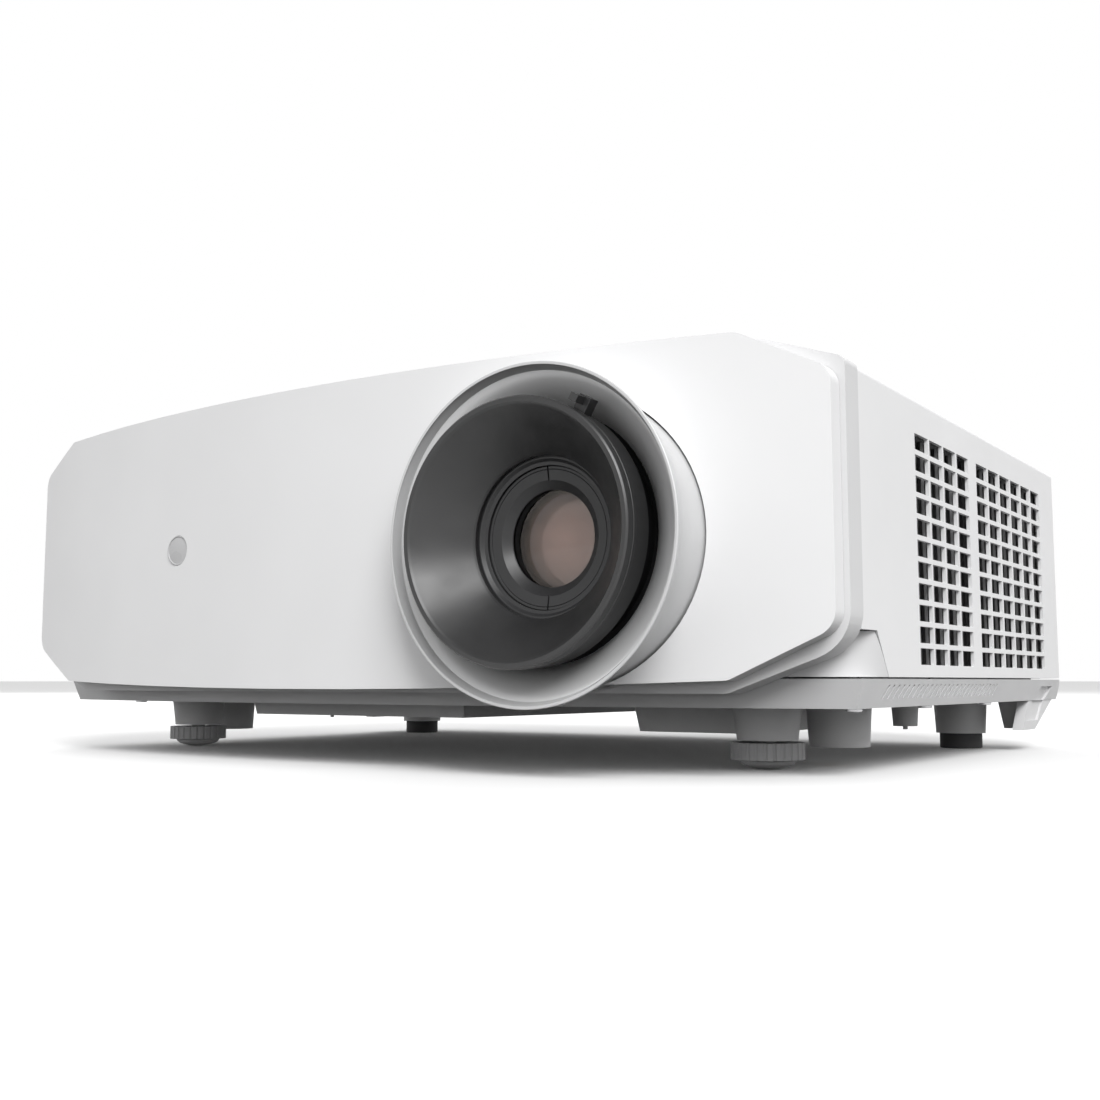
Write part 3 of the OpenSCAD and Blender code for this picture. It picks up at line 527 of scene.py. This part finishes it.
def make_retaining_ring():
    """Threaded ring over the glass, with a fine groove and two slots for its key."""
    profile = eased([
        (16.3, 144.9), (24, 144.9), (24, 148.3, 0.2), (23.1, 148.15, 0.08), (22.95, 147.9),
        (22.8, 148.1, 0.08), (19.4, 147.5, 0.25), (16.5, 145.2, 0.1)])
    piece = turned("keyed_ring", profile, lens_axis, OUT, 180)
    for side in (1, -1):
        near = lens_axis + Vector((-0.3, -151, side * 19)) * MM
        far_corner = lens_axis + Vector((0.3, -147.1, side * 25)) * MM
        low_corner = Vector([min(a, b) for a, b in zip(near, far_corner)])
        high_corner = Vector([max(a, b) for a, b in zip(near, far_corner)])
        cut(piece, block("slot_bit", low_corner, high_corner))
    smooth(piece, 32)
    finish_piece(piece, "retaining_ring", cell_enamel)


def make_glass():
    """Domed front element, and behind it a coated one whose painted shade, dark towards its rim, gives the
    lens its depth.
    """
    radii = [18.1 * (1 - i / 36) for i in range(37)]
    dome = [(r, 101.6 + math.sqrt(46 ** 2 - r ** 2)) for r in radii]
    piece = turned("front_dome", [(0, 139.2), (18.1, 139.2)] + dome, lens_axis, OUT, 144)
    smooth(piece, 32)
    finish_piece(piece, "front_element", front_glass)
    bowl = [(17.5 * (1 - i / 24), 136.4 - 3.2 * (1 - i / 24) ** 2) for i in range(25)]
    coated = turned("second_element", [(0, 128), (17.5, 128)] + bowl, lens_axis, OUT, 120)
    smooth(coated, 32)
    add_detail(coated, "front_element", inner_coating_painted_shade)


# ---------- feet and underside ----------
def make_feet():
    for side in ("left", "right"):
        softened("foot_knob_" + side, knob_plastic, 0.3 * MM, 3)
        low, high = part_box("foot_pad_" + side)
        middle = Vector(((low.x + high.x) / 2, (low.y + high.y) / 2, 0))
        angles = [math.pi / 2 * i / 14 for i in range(15)]
        dome = [(9.9 * math.sin(a), 3.0 * (1 - math.cos(a))) for a in angles]
        profile = dome + [(10.1, 3.2), (3, 3.2), (3, 6.3), (0, 6.3)]
        pad = turned("pad_dome_" + side, profile, middle, (0, 0, 1), 96)
        smooth(pad, 35)
        finish_piece(pad, "foot_pad_" + side, pad_plastic)
    softened("rear_feet", pad_rubber, 0.5 * MM, 3)
    softened("mount_inserts", brass, 0.2 * MM, 2)


def screw_head(name):
    """Pan head with a cross recess, looking along +Z, with its shank behind it."""
    deselect_all()
    bpy.ops.mesh.primitive_cylinder_add(
        vertices=40, radius=2.8 * MM, depth=1.6 * MM, location=(0, 0, 0.8 * MM))
    head = bpy.context.object
    round_edges(head, 0.5 * MM, 4, 40)
    for turn in (0, 90):
        deselect_all()
        bpy.ops.mesh.primitive_cube_add(
            size=1, location=(0, 0, 1.3 * MM), rotation=(0, 0, math.radians(turn)))
        bit = bpy.context.object
        bit.scale = (3.0 * MM, 0.6 * MM, 1.4 * MM)
        settle(bit)
        cut(head, bit)
    deselect_all()
    bpy.ops.mesh.primitive_cylinder_add(
        vertices=24, radius=1.5 * MM, depth=7 * MM, location=(0, 0, -3.4 * MM))
    shank = bpy.context.object
    round_edges(shank, 0.4 * MM, 2, 40)
    return joined(name, [head, shank])


def make_screws():
    """Eight screws under the tub and four in the rear panel."""
    pattern = screw_head("screw_pattern")
    down = Matrix.Rotation(math.pi, 4, "X")
    back = Matrix.Rotation(-math.pi / 2, 4, "X")
    seat = 22.4 * MM
    spots = [(s * x, y) for x, y in ((186, -76), (186, 0), (186, 84), (120, 152)) for s in (-1, 1)]
    copies = [twin(pattern, "screw", Matrix.Translation((x * MM, y * MM, seat)) @ down) for x, y in spots]
    face = 167.8 * MM
    copies += [twin(pattern, "screw", Matrix.Translation((x * MM, face, 46 * MM)) @ back)
               for x in (-166, -112, 108, 166)]
    bpy.data.objects.remove(pattern, do_unlink=True)
    piece = joined("cross_head_screws", copies)
    smooth(piece, 32)
    finish_piece(piece, "case_screws", zinc_steel)


# ---------- rear ----------
def make_sockets():
    softened("signal_ports", nickel_steel, 0.15 * MM, 1)
    softened("power_inlet", socket_plastic, 0.3 * MM, 2)
    tongues = []
    for x in (-30, -58):
        near = ((x - 5.5) * MM, 155.9 * MM, 61.5 * MM)
        far = ((x + 5.5) * MM, 166 * MM, 62.9 * MM)
        tongues.append(block("tongue", near, far, 0.2 * MM))
    near = (3 * MM, 155.9 * MM, 62.4 * MM)
    far = (13 * MM, 166 * MM, 64.1 * MM)
    tongues.append(block("tongue", near, far, 0.2 * MM))
    piece = joined("socket_tongues", tongues)
    smooth(piece, 32)
    add_detail(piece, "signal_ports", socket_plastic)
    wires = []
    for i in range(8):
        x = 40 + (i - 3.5) * 1.1
        near = ((x - 0.22) * MM, 156.2 * MM, 66.9 * MM)
        far = ((x + 0.22) * MM, 165 * MM, 67.4 * MM)
        wires.append(block("wire", near, far, 0.08 * MM))
    contacts = joined("network_contacts", wires)
    smooth(contacts, 32)
    add_detail(contacts, "signal_ports", brass)


# ---------- top ----------
def make_controls():
    softened("keypad_plate", keypad_plastic, 0.25 * MM, 3)
    for key in ("power", "up", "down", "left", "right", "ok", "menu", "back"):
        softened("button_" + key, key_plastic, 0.22 * MM, 3)
    softened("status_lights", light_plastic, 0.15 * MM, 2)
    softened("dial_tray", tray_plastic, 0.3 * MM, 3)
    for dial in ("v_dial", "h_dial"):
        softened(dial, dial_plastic, 0.3 * MM, 3)


# ---------- inside ----------
def make_inside():
    """Parts that show through the grilles and when the cover is off, with their edges broken."""
    for name in ("fan_frames", "fan_rotor_front", "fan_rotor_rear"):
        softened(name, fan_plastic, 0.3 * MM, 2)
    edge_widths = {
        "heat_sink": 0.2, "laser_bank": 0.6, "engine_housing": 1.2, "chassis_tray": 0.25,
        "wheel_motor": 0.4, "light_tunnel": 0.3, "shift_base": 0.5, "shift_v_carriage": 0.4,
        "shift_h_carriage": 0.4, "main_board": 0.15, "power_board": 0.3, "dmd_board": 0.2,
        "zoom_cell": 0.3, "shift_mask": 0.2, "phosphor_wheel": 0.15, "heat_pipes": 0.8,
    }
    for name, width in edge_widths.items():
        softened(name, MATERIAL_OF_SLOT[slot_of_node[name]], width * MM, 2)


make_case()
make_window()
make_trim_ring()
make_hood()
make_barrel()
make_zoom_collar()
make_front_cell()
make_retaining_ring()
make_glass()
make_feet()
make_screws()
make_sockets()
make_controls()
make_inside()


# ---------- studio and camera ----------
def make_camera():
    data = bpy.data.cameras.new("camera")
    data.lens = 41.71
    data.sensor_width = 36
    data.clip_start = 0.01
    data.clip_end = 2000
    camera = bpy.data.objects.new("camera", data)
    bpy.context.scene.collection.objects.link(camera)
    camera.location = (0.34435, -0.49568, 0.0312)
    camera.rotation_euler = Euler((math.radians(90 + 5.88), 0, math.radians(33.99)))
    bpy.context.scene.camera = camera


def make_floor():
    deselect_all()
    bpy.ops.mesh.primitive_plane_add(size=600, location=(0, 0, 0))
    floor = bpy.context.object
    floor.name = "floor"
    material, tree, shader = new_material("floor_paint")
    tree.links.new(tinted(tree, noise(tree, 3), (0.93, 0.93, 0.93), 0.004), shader.inputs["Base Color"])
    shader.inputs["Roughness"].default_value = 0.9
    floor.data.materials.append(material)
    floor.visible_diffuse = False


def make_light(name, place, aim, size, power):
    data = bpy.data.lights.new(name, "AREA")
    data.shape = "RECTANGLE"
    data.size, data.size_y = size
    data.energy = power
    light = bpy.data.objects.new(name, data)
    bpy.context.scene.collection.objects.link(light)
    light.location = place
    light.rotation_euler = (Vector(aim) - Vector(place)).to_track_quat("-Z", "Y").to_euler()


def make_sky():
    """A studio tent: white round the horizon, softer overhead, dark below the floor."""
    world = bpy.data.worlds.new("studio")
    world.use_nodes = True
    tree = world.node_tree
    place = tree.nodes.new("ShaderNodeTexCoord")
    split = tree.nodes.new("ShaderNodeSeparateXYZ")
    height = tree.nodes.new("ShaderNodeMapRange")
    height.inputs["From Min"].default_value = -1
    ramp = tree.nodes.new("ShaderNodeValToRGB")
    for _ in range(3):
        ramp.color_ramp.elements.new(0.5)
    tones = ((0.0, 0.03), (0.49, 0.06), (0.5, 1.0), (0.75, 1.0), (1.0, 0.4))
    for element, (position, tone) in zip(ramp.color_ramp.elements, tones):
        element.position = position
        element.color = (tone, tone, tone, 1)
    tree.links.new(place.outputs["Generated"], split.inputs["Vector"])
    tree.links.new(split.outputs["Z"], height.inputs["Value"])
    tree.links.new(height.outputs["Result"], ramp.inputs["Fac"])
    tree.links.new(ramp.outputs["Color"], tree.nodes["Background"].inputs["Color"])
    bpy.context.scene.world = world


def make_studio():
    make_sky()
    make_light("key", (1.8, -1.75, 2.0), (0, 0, 0.07), (1.6, 1.6), 84)
    make_light("back_fill", (-1.6, 1.9, 1.6), (0, 0, 0.07), (1.8, 1.8), 30)
    bpy.context.scene.view_settings.view_transform = "Standard"


make_camera()
make_floor()
make_studio()
